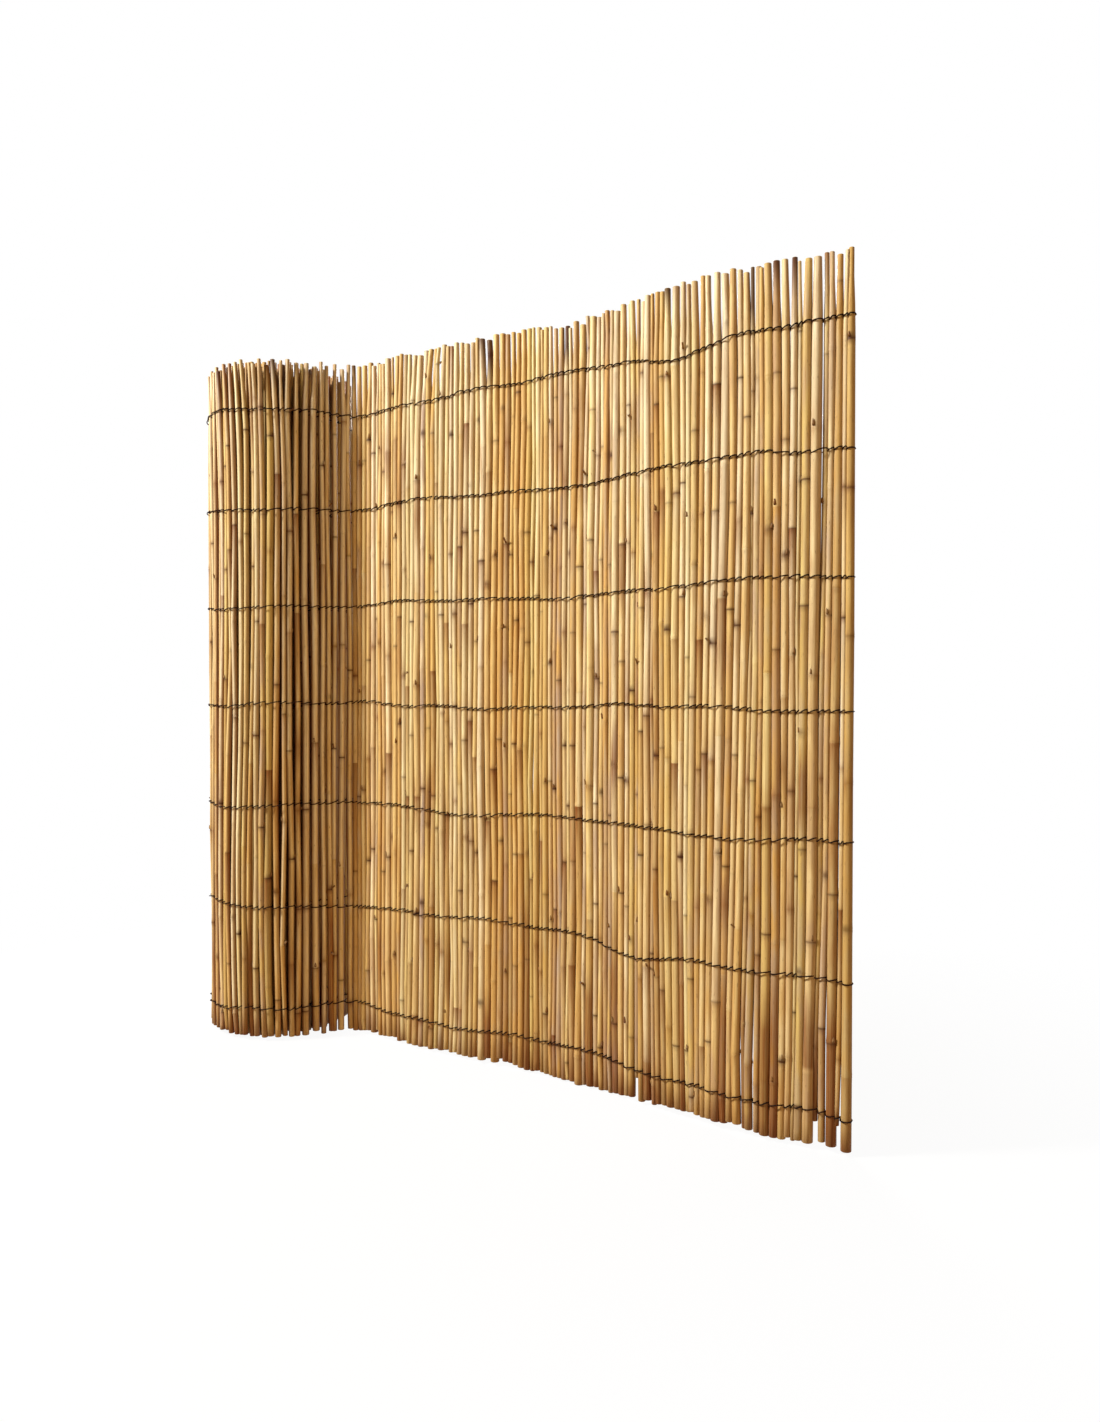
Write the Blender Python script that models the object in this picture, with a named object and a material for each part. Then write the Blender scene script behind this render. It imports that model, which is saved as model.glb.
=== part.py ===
"""Bamboo cane screening, partly unrolled: a mat of thin canes laced side by side with seven rows of
wire. Most of its length is still rolled up and stands on its end, and the rest leaves the roll,
turns in a tight bend and stands beside it as a free panel. Metres, +Z up, the panel along +X.
"""

import math
import random

import bmesh
import bpy
from mathutils import Vector

# Canes: one solid for each layer, with the gaps between the canes cut into its two faces. Above the
# highest row of wire and below the lowest one the canes' ends stand free, and the tips are thinner
SCREEN_HEIGHT = 1.000
CANE_DIAMETER = 0.0086
CANE_GAP = 0.0008
FOOT_DIAMETER = 0.0082
TIP_START_DIAMETER = 0.0070
TIP_DIAMETER = 0.0058
NECK_THICKNESS = 0.0030
NECK_BEYOND_WIRE = 0.006
CREST_FLAT = 0.0034
TOP_SCATTER = 0.008
BOTTOM_SCATTER = 0.004
END_STEP = 0.002
SHORT_CANES_FROM_EDGE = (1, 4, 32)
SHORT_CANE_FOOT = 0.008

# Roll
ROLL_RADIUS = 0.116
BORE_RADIUS = 0.030
TURN_PITCH = 0.0095
TURN_GROOVE_WIDTH = 0.0030
TURN_GROOVE_DEPTH = 0.006
ROLL_SEGMENTS = 36

# The way out of the roll: a straight lead off the outer turn, and a tight bend into the panel
DEPARTURE_ANGLE = math.radians(-36.4)
LEAD_LENGTH = 0.083
BEND_RADIUS = 0.032

# Unrolled panel
PANEL_REACH = 0.746
WAVE_HEIGHT = 0.0142
WAVE_LENGTH = 0.550
WAVE_START = 0.188
WAVE_RAMP = 0.250

# Lacing wire
WIRE_RADIUS = 0.0005
WIRE_ROWS = 7
LOWEST_WIRE_HEIGHT = 0.046
HIGHEST_WIRE_DROP = 0.070
WIRE_CLEARANCE = 0.0007
WIRE_STEP_ON_ROLL = math.radians(12)
WIRE_STEP_ON_LEAD = 0.040
WIRE_STEP_ON_PANEL = 0.030
WIRE_STEPS_IN_BEND = 6
WIRE_STEPS_ROUND_EDGE = 6
BACK_STRAND_END = 0.020

CLEARANCE = 0.0003
PATH_SAMPLE = 0.0005

CANE_PITCH = CANE_DIAMETER + CANE_GAP
NECK_BOTTOM = LOWEST_WIRE_HEIGHT - NECK_BEYOND_WIRE
NECK_TOP = SCREEN_HEIGHT - HIGHEST_WIRE_DROP + NECK_BEYOND_WIRE
WIRE_SPACING = (SCREEN_HEIGHT - LOWEST_WIRE_HEIGHT - HIGHEST_WIRE_DROP) / (WIRE_ROWS - 1)
WIRE_OFFSET = CANE_DIAMETER / 2 + WIRE_CLEARANCE + WIRE_RADIUS
TURN_LINE_RADIUS = ROLL_RADIUS - CANE_DIAMETER / 2
INNER_TURNS_RADIUS = ROLL_RADIUS - CANE_DIAMETER - CLEARANCE
BEND_SWEEP = math.pi / 2 + DEPARTURE_ANGLE
LEAD_FRONT = Vector((math.cos(DEPARTURE_ANGLE), math.sin(DEPARTURE_ANGLE)))
LEAD_HEADING = Vector((-LEAD_FRONT.y, LEAD_FRONT.x))
LEAD_START = LEAD_FRONT * TURN_LINE_RADIUS
LEAD_END = LEAD_START + LEAD_HEADING * LEAD_LENGTH
BEND_CENTRE = LEAD_END + LEAD_FRONT * BEND_RADIUS
PANEL_START = BEND_CENTRE + Vector((0, BEND_RADIUS))


def clear_scene():
    for obj in list(bpy.data.objects):
        bpy.data.objects.remove(obj, do_unlink=True)


def make_material(name, colour, roughness, metallic=0.0):
    material = bpy.data.materials.new(name)
    material.use_nodes = True
    shader = material.node_tree.nodes["Principled BSDF"]
    shader.inputs["Base Color"].default_value = (*colour, 1.0)
    shader.inputs["Roughness"].default_value = roughness
    shader.inputs["Metallic"].default_value = metallic
    material.diffuse_color = (*colour, 1.0)
    return material


def add_object(name, data, material, parent):
    obj = bpy.data.objects.new(name, data)
    obj.data.materials.append(material)
    obj.parent = parent
    bpy.context.scene.collection.objects.link(obj)
    return obj


def clear_of_lead(offset):
    """How far round the roll the outer turn has to stop short of the lead that covers it: the angle
    at which a point at this offset outside the turn's own line lies just behind the lead's back."""
    lead_back = TURN_LINE_RADIUS - CANE_DIAMETER / 2 - CLEARANCE
    return math.acos(lead_back / (TURN_LINE_RADIUS + offset))


def outer_turn_line(offset=0.0, step=PATH_SAMPLE / TURN_LINE_RADIUS, reach=CANE_DIAMETER / 2):
    """Plan points of the outer turn, from its inner end round to where it leaves the roll. A positive
    offset lies outside the canes' own line, and what is as thick as the reach clears the lead."""
    radius = TURN_LINE_RADIUS + offset
    sweep = math.tau - clear_of_lead(reach)
    steps = math.ceil(sweep / step)
    start = DEPARTURE_ANGLE - sweep
    return [
        Vector((math.cos(start + sweep * i / steps), math.sin(start + sweep * i / steps))) * radius
        for i in range(steps + 1)
    ]


def lead_line(offset=0.0, step=PATH_SAMPLE, start=0.0):
    """Plan points of the straight lead from the roll to the bend. A positive offset lies in front."""
    steps = math.ceil((LEAD_LENGTH - start) / step)
    first = LEAD_START + LEAD_HEADING * start + LEAD_FRONT * offset
    return [first.lerp(LEAD_END + LEAD_FRONT * offset, i / steps) for i in range(steps + 1)]


def bend_line(offset=0.0, steps=math.ceil(BEND_RADIUS * BEND_SWEEP / PATH_SAMPLE)):
    """Plan points of the tight bend into the panel. A positive offset lies in front, inside it."""
    start = math.pi + DEPARTURE_ANGLE
    radius = BEND_RADIUS - offset
    points = []
    for i in range(steps + 1):
        angle = start - BEND_SWEEP * i / steps
        points.append(BEND_CENTRE + Vector((math.cos(angle), math.sin(angle))) * radius)
    return points


def panel_wave(along):
    """How far the panel stands behind its straight line: a slow wave that starts from the bend."""
    height = WAVE_HEIGHT * (1 - math.exp(-max(along, 0.0) / WAVE_RAMP))
    return height * math.sin(math.tau * (along - WAVE_START) / WAVE_LENGTH)


def panel_line(offset=0.0, step=PATH_SAMPLE):
    """Plan points of the panel from the bend to its free edge. A positive offset lies in front."""
    steps = math.ceil(PANEL_REACH / step)
    points = []
    for i in range(steps + 1):
        along = PANEL_REACH * i / steps
        rise = panel_wave(along + PATH_SAMPLE) - panel_wave(along - PATH_SAMPLE)
        front = Vector((rise / (2 * PATH_SAMPLE), -1)).normalized()
        points.append(PANEL_START + Vector((along, panel_wave(along))) + front * offset)
    return points


def cane_seats(line):
    """Seats one cane after another along a plan line: (centre, direction along the mat) of each."""
    travelled = [0.0]
    for before, after in zip(line, line[1:]):
        travelled.append(travelled[-1] + (after - before).length)
    count = int((travelled[-1] - CLEARANCE) / CANE_PITCH)
    seats, at = [], 0
    for i in range(count):
        distance = CLEARANCE / 2 + (i + 0.5) * CANE_PITCH
        while travelled[at + 1] < distance:
            at += 1
        share = (distance - travelled[at]) / (travelled[at + 1] - travelled[at])
        centre = line[at].lerp(line[at + 1], share)
        seats.append((centre, (line[at + 1] - line[at]).normalized()))
    return seats


def cane_ends(count, seed):
    """(bottom, top) height of each cane: cut by hand, so the ends scatter in small steps."""
    pick = random.Random(seed)
    ends = []
    for _ in range(count):
        lift = max(0.0, pick.uniform(-BOTTOM_SCATTER, BOTTOM_SCATTER))
        drop = pick.uniform(0.0, TOP_SCATTER)
        bottom = END_STEP * round(lift / END_STEP)
        ends.append((bottom, SCREEN_HEIGHT - END_STEP * round(drop / END_STEP)))
    return ends


def neck_points(seats):
    """Front and back points of each neck between two canes, and of the layer's two edges."""
    necks = []
    for i in range(len(seats) + 1):
        before = seats[max(i - 1, 0)]
        after = seats[min(i, len(seats) - 1)]
        along = (before[1] + after[1]).normalized()
        if i == 0:
            middle = after[0] - along * CANE_DIAMETER / 2
        elif i == len(seats):
            middle = before[0] + along * CANE_DIAMETER / 2
        else:
            middle = (before[0] + after[0]) / 2
        across = Vector((along.y, -along.x)) * NECK_THICKNESS / 2
        necks.append((middle + across, middle - across))
    return necks


class LayerMesh:
    """Builds a layer of canes in a bmesh, and makes each vertex only once."""

    def __init__(self):
        self.bm = bmesh.new()
        self.made = {}

    def vertex(self, line, point, z):
        key = (line, round(z, 6))
        if key not in self.made:
            self.made[key] = self.bm.verts.new((point.x, point.y, z))
        return self.made[key]

    def ring(self, outline, z):
        return [self.vertex(line, point, z) for line, point in outline]

    def face(self, *corners):
        self.bm.faces.new(corners)

    def band(self, low, high, left_open=()):
        """The faces between two rings, but for the sides that are open to the next cane's neck."""
        for side in range(len(low)):
            following = (side + 1) % len(low)
            if side not in left_open:
                self.face(low[side], low[following], high[following], high[side])

    def finish(self, name):
        bmesh.ops.recalc_face_normals(self.bm, faces=self.bm.faces)
        mesh = bpy.data.meshes.new(name)
        self.bm.to_mesh(mesh)
        self.bm.free()
        return mesh


def cane_outline(index, seat, necks, joined):
    """Eight (line, point) corners round a cane, from its front crest over the side that lies further
    along the mat, its back crest and its nearer side. Where it is joined to its neighbours, its two
    sides are the necks between them. Where it stands free, it has two narrow sides of its own."""
    centre, along = seat
    across = Vector((along.y, -along.x))
    front, flat = across * CANE_DIAMETER / 2, along * CREST_FLAT / 2
    side, lip = along * CANE_DIAMETER / 2, across * NECK_THICKNESS / 2
    near = [((index, "near_back"), centre - side - lip), ((index, "near_front"), centre - side + lip)]
    far = [((index, "far_front"), centre + side + lip), ((index, "far_back"), centre + side - lip)]
    if joined:
        near = [((index, 1), necks[index][1]), ((index, 0), necks[index][0])]
        far = [((index + 1, 0), necks[index + 1][0]), ((index + 1, 1), necks[index + 1][1])]
    return [
        ((index, "front_near"), centre + front - flat),
        ((index, "front_far"), centre + front + flat),
        *far,
        ((index, "back_far"), centre - front + flat),
        ((index, "back_near"), centre - front - flat),
        *near,
    ]


def thinned(outline, centre, diameter):
    """The same corners drawn in towards the cane's centre, for an end of another thickness."""
    share = diameter / CANE_DIAMETER
    return [((line, diameter), centre + (point - centre) * share) for line, point in outline]


def add_cane(layer, index, seat, ends, necks):
    """One cane: an eight-sided prism with a free foot, a stretch joined to its neighbours along
    their necks, and a free tip that narrows to the top. A level step joins each to the next."""
    centre = seat[0]
    free = cane_outline(index, seat, necks, joined=False)
    joined = cane_outline(index, seat, necks, joined=True)
    foot = layer.ring(thinned(free, centre, FOOT_DIAMETER), ends[0])
    foot_end = layer.ring(thinned(free, centre, FOOT_DIAMETER), NECK_BOTTOM)
    low, high = layer.ring(joined, NECK_BOTTOM), layer.ring(joined, NECK_TOP)
    tip_start = layer.ring(thinned(free, centre, TIP_START_DIAMETER), NECK_TOP)
    tip = layer.ring(thinned(free, centre, TIP_DIAMETER), ends[1])
    far_side, near_side = 2, 6
    shared_sides = []
    if index < len(necks) - 2:
        shared_sides.append(far_side)
    if index > 0:
        shared_sides.append(near_side)
    layer.face(*foot)
    layer.band(foot, foot_end)
    layer.band(foot_end, low)
    layer.band(low, high, left_open=shared_sides)
    layer.band(high, tip_start)
    layer.band(tip_start, tip)
    layer.face(*tip)


def make_layer(name, seats, ends, material, parent):
    """A layer of canes joined along their necks as one closed solid."""
    layer = LayerMesh()
    necks = neck_points(seats)
    for index, seat in enumerate(seats):
        add_cane(layer, index, seat, ends[index], necks)
    return add_object(name, layer.finish(name), material, parent)


def make_inner_turns(material, parent):
    """The turns inside the outer one: a turned ring with its bore and a groove between turns."""
    depth = INNER_TURNS_RADIUS - BORE_RADIUS
    turns = max(1, round(depth / TURN_PITCH))
    pitch = depth / turns
    lip = TURN_GROOVE_WIDTH / 2
    end = [(BORE_RADIUS, 0.0)]
    for i in range(1, turns):
        groove = BORE_RADIUS + i * pitch
        end += [(groove - lip, 0.0), (groove, TURN_GROOVE_DEPTH), (groove + lip, 0.0)]
    end.append((INNER_TURNS_RADIUS, 0.0))
    profile = end + [(r, SCREEN_HEIGHT - z) for r, z in reversed(end)]
    bm = bmesh.new()
    verts = [bm.verts.new((r, 0.0, z)) for r, z in profile]
    edges = [bm.edges.new((a, b)) for a, b in zip(verts, verts[1:] + verts[:1])]
    bmesh.ops.spin(
        bm,
        geom=verts + edges,
        cent=(0, 0, 0),
        axis=(0, 0, 1),
        angle=math.tau,
        steps=ROLL_SEGMENTS,
        use_merge=True,
    )
    bmesh.ops.recalc_face_normals(bm, faces=bm.faces)
    mesh = bpy.data.meshes.new("roll_inner_turns")
    bm.to_mesh(mesh)
    bm.free()
    return add_object("roll_inner_turns", mesh, material, parent)


def edge_line(edge_seat, distance):
    """Plan points half way round the free edge's cane, from the front of the mat to its back."""
    centre, along = edge_seat
    front = Vector((along.y, -along.x))
    half_step = math.pi / WIRE_STEPS_ROUND_EDGE / 2
    points = [centre + front * distance]
    for i in range(1, WIRE_STEPS_ROUND_EDGE):
        turn = math.pi * i / WIRE_STEPS_ROUND_EDGE
        outward = front * math.cos(turn) + along * math.sin(turn)
        points.append(centre + outward * distance / math.cos(half_step))
    return [*points, centre - front * distance]


def make_wire(row, edge_seat, material, parent):
    """One row of lacing: the wire lies on the roll and along the panel's front, turns round the
    edge cane and comes back along the panel's back, round the bend and into the nip of the roll."""
    on_roll = (TURN_LINE_RADIUS + WIRE_OFFSET) / math.cos(WIRE_STEP_ON_ROLL / 2) - TURN_LINE_RADIUS
    line = outer_turn_line(on_roll, WIRE_STEP_ON_ROLL, on_roll + WIRE_RADIUS)
    line += lead_line(WIRE_OFFSET, WIRE_STEP_ON_LEAD)[1:]
    line += bend_line(WIRE_OFFSET, WIRE_STEPS_IN_BEND)[1:]
    line += panel_line(WIRE_OFFSET, WIRE_STEP_ON_PANEL)[1:-1]
    line += edge_line(edge_seat, WIRE_OFFSET)
    line += reversed(panel_line(-WIRE_OFFSET, WIRE_STEP_ON_PANEL)[:-1])
    line += reversed(bend_line(-WIRE_OFFSET, WIRE_STEPS_IN_BEND)[:-1])
    line.append(LEAD_END - LEAD_HEADING * BACK_STRAND_END - LEAD_FRONT * WIRE_OFFSET)
    curve = bpy.data.curves.new(f"binding_wire_{row + 1}", "CURVE")
    curve.dimensions = "3D"
    curve.bevel_depth = WIRE_RADIUS
    curve.bevel_resolution = 0
    curve.use_fill_caps = True
    spline = curve.splines.new("POLY")
    spline.points.add(len(line) - 1)
    height = LOWEST_WIRE_HEIGHT + row * WIRE_SPACING
    for point, plan in zip(spline.points, line):
        point.co = (plan.x, plan.y, height, 1.0)
    return add_object(curve.name, curve, material, parent)


def stand_on_origin(objects, carrier):
    """Moves the carrier so that the bottom centre of the whole screen's box is the origin."""
    bpy.context.view_layer.update()
    graph = bpy.context.evaluated_depsgraph_get()
    corners = []
    for obj in objects:
        evaluated = obj.evaluated_get(graph)
        mesh = evaluated.to_mesh()
        corners += [evaluated.matrix_world @ vertex.co for vertex in mesh.vertices]
        evaluated.to_mesh_clear()
    low = [min(point[axis] for point in corners) for axis in range(3)]
    high = [max(point[axis] for point in corners) for axis in range(3)]
    carrier.location = (-(low[0] + high[0]) / 2, -(low[1] + high[1]) / 2, -low[2])


clear_scene()
cane_skin = make_material("bamboo_cane", (0.62, 0.42, 0.19), 0.55)
cut_cane = make_material("bamboo_cut_ends", (0.50, 0.33, 0.15), 0.75)
dark_wire = make_material("annealed_wire", (0.06, 0.045, 0.035), 0.5, 0.9)

screen = bpy.data.objects.new("screen", None)
bpy.context.scene.collection.objects.link(screen)

turn_seats = cane_seats(list(reversed(outer_turn_line())))
turn_ends = cane_ends(len(turn_seats), seed=3)
panel_seats = cane_seats(lead_line()[:-1] + bend_line()[:-1] + panel_line())
panel_ends = cane_ends(len(panel_seats), seed=5)
for from_edge in SHORT_CANES_FROM_EDGE:
    panel_ends[-1 - from_edge] = (NECK_BOTTOM - SHORT_CANE_FOOT, panel_ends[-1 - from_edge][1])

pieces = [
    make_inner_turns(cut_cane, screen),
    make_layer("roll_outer_turn", turn_seats, turn_ends, cane_skin, screen),
    make_layer("unrolled_panel", panel_seats, panel_ends, cane_skin, screen),
]
pieces += [make_wire(row, panel_seats[-1], dark_wire, screen) for row in range(WIRE_ROWS)]
stand_on_origin(pieces, screen)
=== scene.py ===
"""The looks of a roll of cane screening with its free end unrolled. The canes, their laced wires
and their finish are worked out here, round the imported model. Metres, +Z up, the panel along +X."""

import math

import bpy
import numpy as np
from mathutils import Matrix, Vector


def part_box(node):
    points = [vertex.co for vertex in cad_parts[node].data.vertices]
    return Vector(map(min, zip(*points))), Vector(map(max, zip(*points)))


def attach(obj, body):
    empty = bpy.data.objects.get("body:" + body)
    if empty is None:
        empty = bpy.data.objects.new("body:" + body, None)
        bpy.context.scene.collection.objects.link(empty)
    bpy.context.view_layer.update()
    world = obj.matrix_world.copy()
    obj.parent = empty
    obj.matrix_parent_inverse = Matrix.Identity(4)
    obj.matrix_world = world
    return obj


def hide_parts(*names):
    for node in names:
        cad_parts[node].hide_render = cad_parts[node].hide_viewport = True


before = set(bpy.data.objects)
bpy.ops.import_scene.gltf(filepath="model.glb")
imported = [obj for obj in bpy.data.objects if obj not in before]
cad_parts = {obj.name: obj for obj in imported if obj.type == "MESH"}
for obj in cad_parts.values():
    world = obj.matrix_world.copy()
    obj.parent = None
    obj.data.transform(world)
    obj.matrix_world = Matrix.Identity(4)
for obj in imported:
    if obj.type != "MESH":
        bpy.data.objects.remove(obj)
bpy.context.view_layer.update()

# Camera. It stands about 1.3 m in front of the panel's free end, at half the screen's height, with
# the angle of view of a 28 mm lens, turned left towards the roll.
CAMERA_PLACE = (0.9517, -1.1672, 0.5175)
CAMERA_TURN = math.radians(35.63)
CAMERA_DIP = math.radians(1.05)
LENS = 27.85
SENSOR = 36.0

camera_data = bpy.data.cameras.new("camera")
camera_data.lens = LENS
camera_data.sensor_width = SENSOR
camera = bpy.data.objects.new("camera", camera_data)
camera.location = CAMERA_PLACE
camera.rotation_euler = (math.pi / 2 - CAMERA_DIP, 0.0, CAMERA_TURN)
bpy.context.scene.collection.objects.link(camera)
bpy.context.scene.camera = camera

# Canes of the unrolled panel. Each is one thin whole culm, cut by hand at both ends, hollow between
# its joints, thicker at the foot than at the tip, and a little crooked. They stand side by side in
# the order in which they were laced, from the place where the mat leaves the roll to its free edge.
SCREEN_HEIGHT = 1.000
DEPARTURE_ANGLE = math.radians(-36.4)
LEAD_LENGTH = 0.083
BEND_RADIUS = 0.032
BEND_START = 0.004
PANEL_REACH = 0.746
WAVE_HEIGHT = 0.0142
WAVE_LENGTH = 0.550
WAVE_START = 0.188
WAVE_RAMP = 0.250

# The turns still wound, and how slack they lie behind the lead.
CANE_LINE_DEPTH = 0.0043
TURN_PITCH = 0.0095
TURN_STEP_SHARE = 0.28
TURNS = 8.1
SLACK = 0.022
SLACK_ANGLE = math.radians(20)
SLACK_SPREAD = math.radians(45)
SLACK_RADII = (0.045, 0.095)
SLACK_EASE = 0.25
PLAN_STEP = 0.001

roll_low, roll_high = (np.array(corner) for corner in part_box("roll_outer_turn"))
core_low, core_high = (np.array(corner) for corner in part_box("roll_inner_turns"))
roll_axis = ((core_low + core_high) / 2)[:2]
turn_radius = (roll_high[1] - roll_low[1]) / 2 - CANE_LINE_DEPTH


def ease(share):
    """A smooth step: 3 x squared less 2 x cubed, held at 0 and 1 outside that range."""
    share = np.clip(share, 0.0, 1.0)
    return share * share * (3 - 2 * share)


def compass(angle):
    """Unit vectors in plan at these angles: the cosine and the sine of each."""
    return np.stack([np.cos(angle), np.sin(angle)], axis=-1)


def lay_plan():
    """The mat's line in plan, from the innermost turn to the free edge, as distances and points.

    On the roll the radius is the outer turn's, less one turn pitch for each whole turn still wound.
    The step inwards to the next turn is an ease over the last share of each turn, behind the lead.
    There the roll is also slack, by a bell curve of the angle that fades out towards the bore.
    Then come a straight lead, a round bend, and the panel, whose wave is a sine with a slow start.
    The distance is counted along the mat and is 0 where it leaves the roll. The last value is the
    distance where the outer turn starts."""
    steps = int(TURNS * math.tau * turn_radius / PLAN_STEP)
    wound = np.linspace(TURNS * math.tau, 0.0, steps)[:-1]
    turns = wound / math.tau
    step_in = ease((turns % 1 - 1 + TURN_STEP_SHARE) / TURN_STEP_SHARE)
    radius = turn_radius - TURN_PITCH * (np.floor(turns) + step_in)
    from_slack = (DEPARTURE_ANGLE - wound - SLACK_ANGLE + math.pi) % math.tau - math.pi
    bell = np.exp(-((from_slack / SLACK_SPREAD) ** 2)) * ease(turns / SLACK_EASE)
    radius -= SLACK * bell * ease((radius - SLACK_RADII[0]) / (SLACK_RADII[1] - SLACK_RADII[0]))
    roll = radius[:, None] * compass(DEPARTURE_ANGLE - wound)

    front = compass(DEPARTURE_ANGLE)
    heading = compass(DEPARTURE_ANGLE + math.pi / 2)
    lead = front * turn_radius + heading * np.arange(0, LEAD_LENGTH, PLAN_STEP)[:, None]

    bend_centre = front * (turn_radius + BEND_RADIUS) + heading * LEAD_LENGTH
    sweep = math.pi / 2 + DEPARTURE_ANGLE
    turned = np.arange(0, sweep, PLAN_STEP / BEND_RADIUS)
    bend = bend_centre + BEND_RADIUS * compass(math.pi + DEPARTURE_ANGLE - turned)

    along = np.linspace(0, PANEL_REACH, int(PANEL_REACH / PLAN_STEP))
    swell = WAVE_HEIGHT * (1 - np.exp(-along / WAVE_RAMP))
    wave = swell * np.sin(math.tau * (along - WAVE_START) / WAVE_LENGTH)
    panel = bend_centre + (0, BEND_RADIUS) + np.stack([along, wave], axis=-1)

    points = roll_axis + np.concatenate([roll, lead, bend, panel])
    travelled = np.concatenate([[0], np.cumsum(np.linalg.norm(np.diff(points, axis=0), axis=1))])
    outer_start = np.searchsorted(-wound, -math.tau)
    leaves = travelled[len(roll)]
    return travelled - leaves, points, travelled[outer_start] - leaves


plan_distance, plan_points, outer_turn_start = lay_plan()
plan_heading = np.gradient(plan_points, axis=0)
plan_heading /= np.linalg.norm(plan_heading, axis=1)[:, None]
mat_start = plan_distance[0]
mat_end = plan_distance[-1]
lead_end = LEAD_LENGTH + BEND_START


def stand_on_plan(distance, depth):
    """Plan points and headings at these distances along the mat, read off evenly between the points
    of its line. The depth is laid off square to the heading, and is positive in front."""
    heading = np.stack([np.interp(distance, plan_distance, plan_heading[:, i]) for i in (0, 1)], -1)
    heading /= np.linalg.norm(heading, axis=-1)[..., None]
    point = np.stack([np.interp(distance, plan_distance, plan_points[:, i]) for i in (0, 1)], -1)
    front = np.stack([heading[..., 1], -heading[..., 0]], -1)
    return point + front * depth[..., None], heading


# Pitch, mean thickness and spread of the gaps. In the panel the canes press on each other, so they
# measure more than their pitch.
PANEL_PACKING = (0.0085, 0.0100, 0.0003)
LEAD_PACKING = (0.0105, 0.0086, 0.0013)
PACKING_SHARES = np.array([0.0, 0.31, 0.62, 0.93])
GAP_EVENNESS = 0.60
GAP_HELD_SHARE = 0.6
WIDEST_GAP = 3.0
THICKNESS_SPREAD = 0.18
THICKNESS_RANGE = (0.0056, 0.0130)
TIP_THINNING = (0.00, 0.10)
TIP_STEP = 0.26
TIP_STEP_SHARES = (0.925, 0.975)

# How crooked the canes are: each for itself, and together with its neighbours on both sides.
LEAN = 0.0010
JOINT_KINK = 0.0010
DEPTH_SPREAD = 0.0011
PANEL_CROOKEDNESS = 0.42
SHARED_LEAN = 0.0021
SHARED_KINK = 0.0010
SHARED_BY = 13
SHARED_RAMP = 0.05

JOINTS = 6
JOINT_SPACING = 0.163
FIRST_JOINT = (0.03, 0.03 + 0.85 * JOINT_SPACING)
SPACING_SPREAD = (0.86, 1.04)
JOINT_SCATTER = 0.007
JOINT_MARGIN = 0.022

# The mat's two ends: each bell of its level has a distance from the free edge, half a width and a
# rise, and each cane ends a little inside that level.
SWELL_LEVEL = 0.0045
SWELL_BELLS = ((0.36, 0.07, -0.0040), (0.17, 0.06, 0.0030))
TOP_SCATTER = 0.0045
BOTTOM_SCATTER = 0.0024
FAN_START = 0.90
FAN_RAMP = 0.12
FAN_SPREAD = 0.0011
FAN_DEPTH_SHARE = 0.6

# How the canes differ in colour. Heights below or above all canes stand for none.
BELOW_ALL, ABOVE_ALL = -1.0, 2.0
TONE_SHAPE = (1.6, 2.6)
GREY_SHAPE = (0.7, 1.8)
GREEN_SHAPE = (0.6, 1.2)
GREEN_STRAW_AMOUNT = 0.42
# Painted shade on the sides of the canes, where the next canes shade them: its share on the roll and
# the lead, and in the panel.
ROLL_PAINTED_SIDE_SHADE, PANEL_PAINTED_SIDE_SHADE = 1.0, 0.62
BROWN_FOOT_SHARE = 0.10
BROWN_FOOT_HEIGHT = (0.05, 0.30)
BROWN_BAND_SHARE = 0.14
BROWN_BAND_FROM = (0.05, 0.90)
BROWN_BAND_LENGTH = (0.02, 0.10)
DARK_TIP_SHARE = 0.09
DARK_TIP_LENGTH = (0.005, 0.05)
DIRT_STRENGTH = (0.0, 1.1)
PATTERN_SHIFT = 9

draw = np.random.default_rng(11)
draw_more = np.random.default_rng(5)


def thickness_at(share, thinning):
    """A cane's thickness at a share of the height, as a share of its foot's: it falls evenly by its
    own thinning, and just above the top wire it eases down once more to the free tip."""
    start, end = TIP_STEP_SHARES
    step = ease((share - start) / (end - start))
    return 1 - thinning * share - TIP_STEP * step


def edge_swell(distance):
    """How far the mat's ends have slipped up or down, as it was laced by hand and isn't level: one
    rise for all of it, and a bell curve for each dip and crest."""
    swell = np.full_like(distance, SWELL_LEVEL)
    for from_edge, spread, rise in SWELL_BELLS:
        swell += rise * np.exp(-(((distance - mat_end + from_edge) / spread) ** 2))
    return swell


def shared(values, reach):
    """Random values smoothed along the mat: each is a sum over its neighbours within this reach,
    weighted by a raised cosine, and scaled so that the spread stays the same."""
    reach = min(reach, len(values) // 2 * 2 - 1)
    weight = 1 + np.cos(np.linspace(-math.pi, math.pi, reach + 2)[1:-1])
    weight /= np.linalg.norm(weight)
    margin = reach // 2
    flat = np.pad(values.reshape(len(values), -1), ((margin, margin), (0, 0)), mode="reflect")
    smooth = [np.convolve(line, weight, "valid") for line in flat.T]
    return np.stack(smooth, -1).reshape(values.shape)


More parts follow.
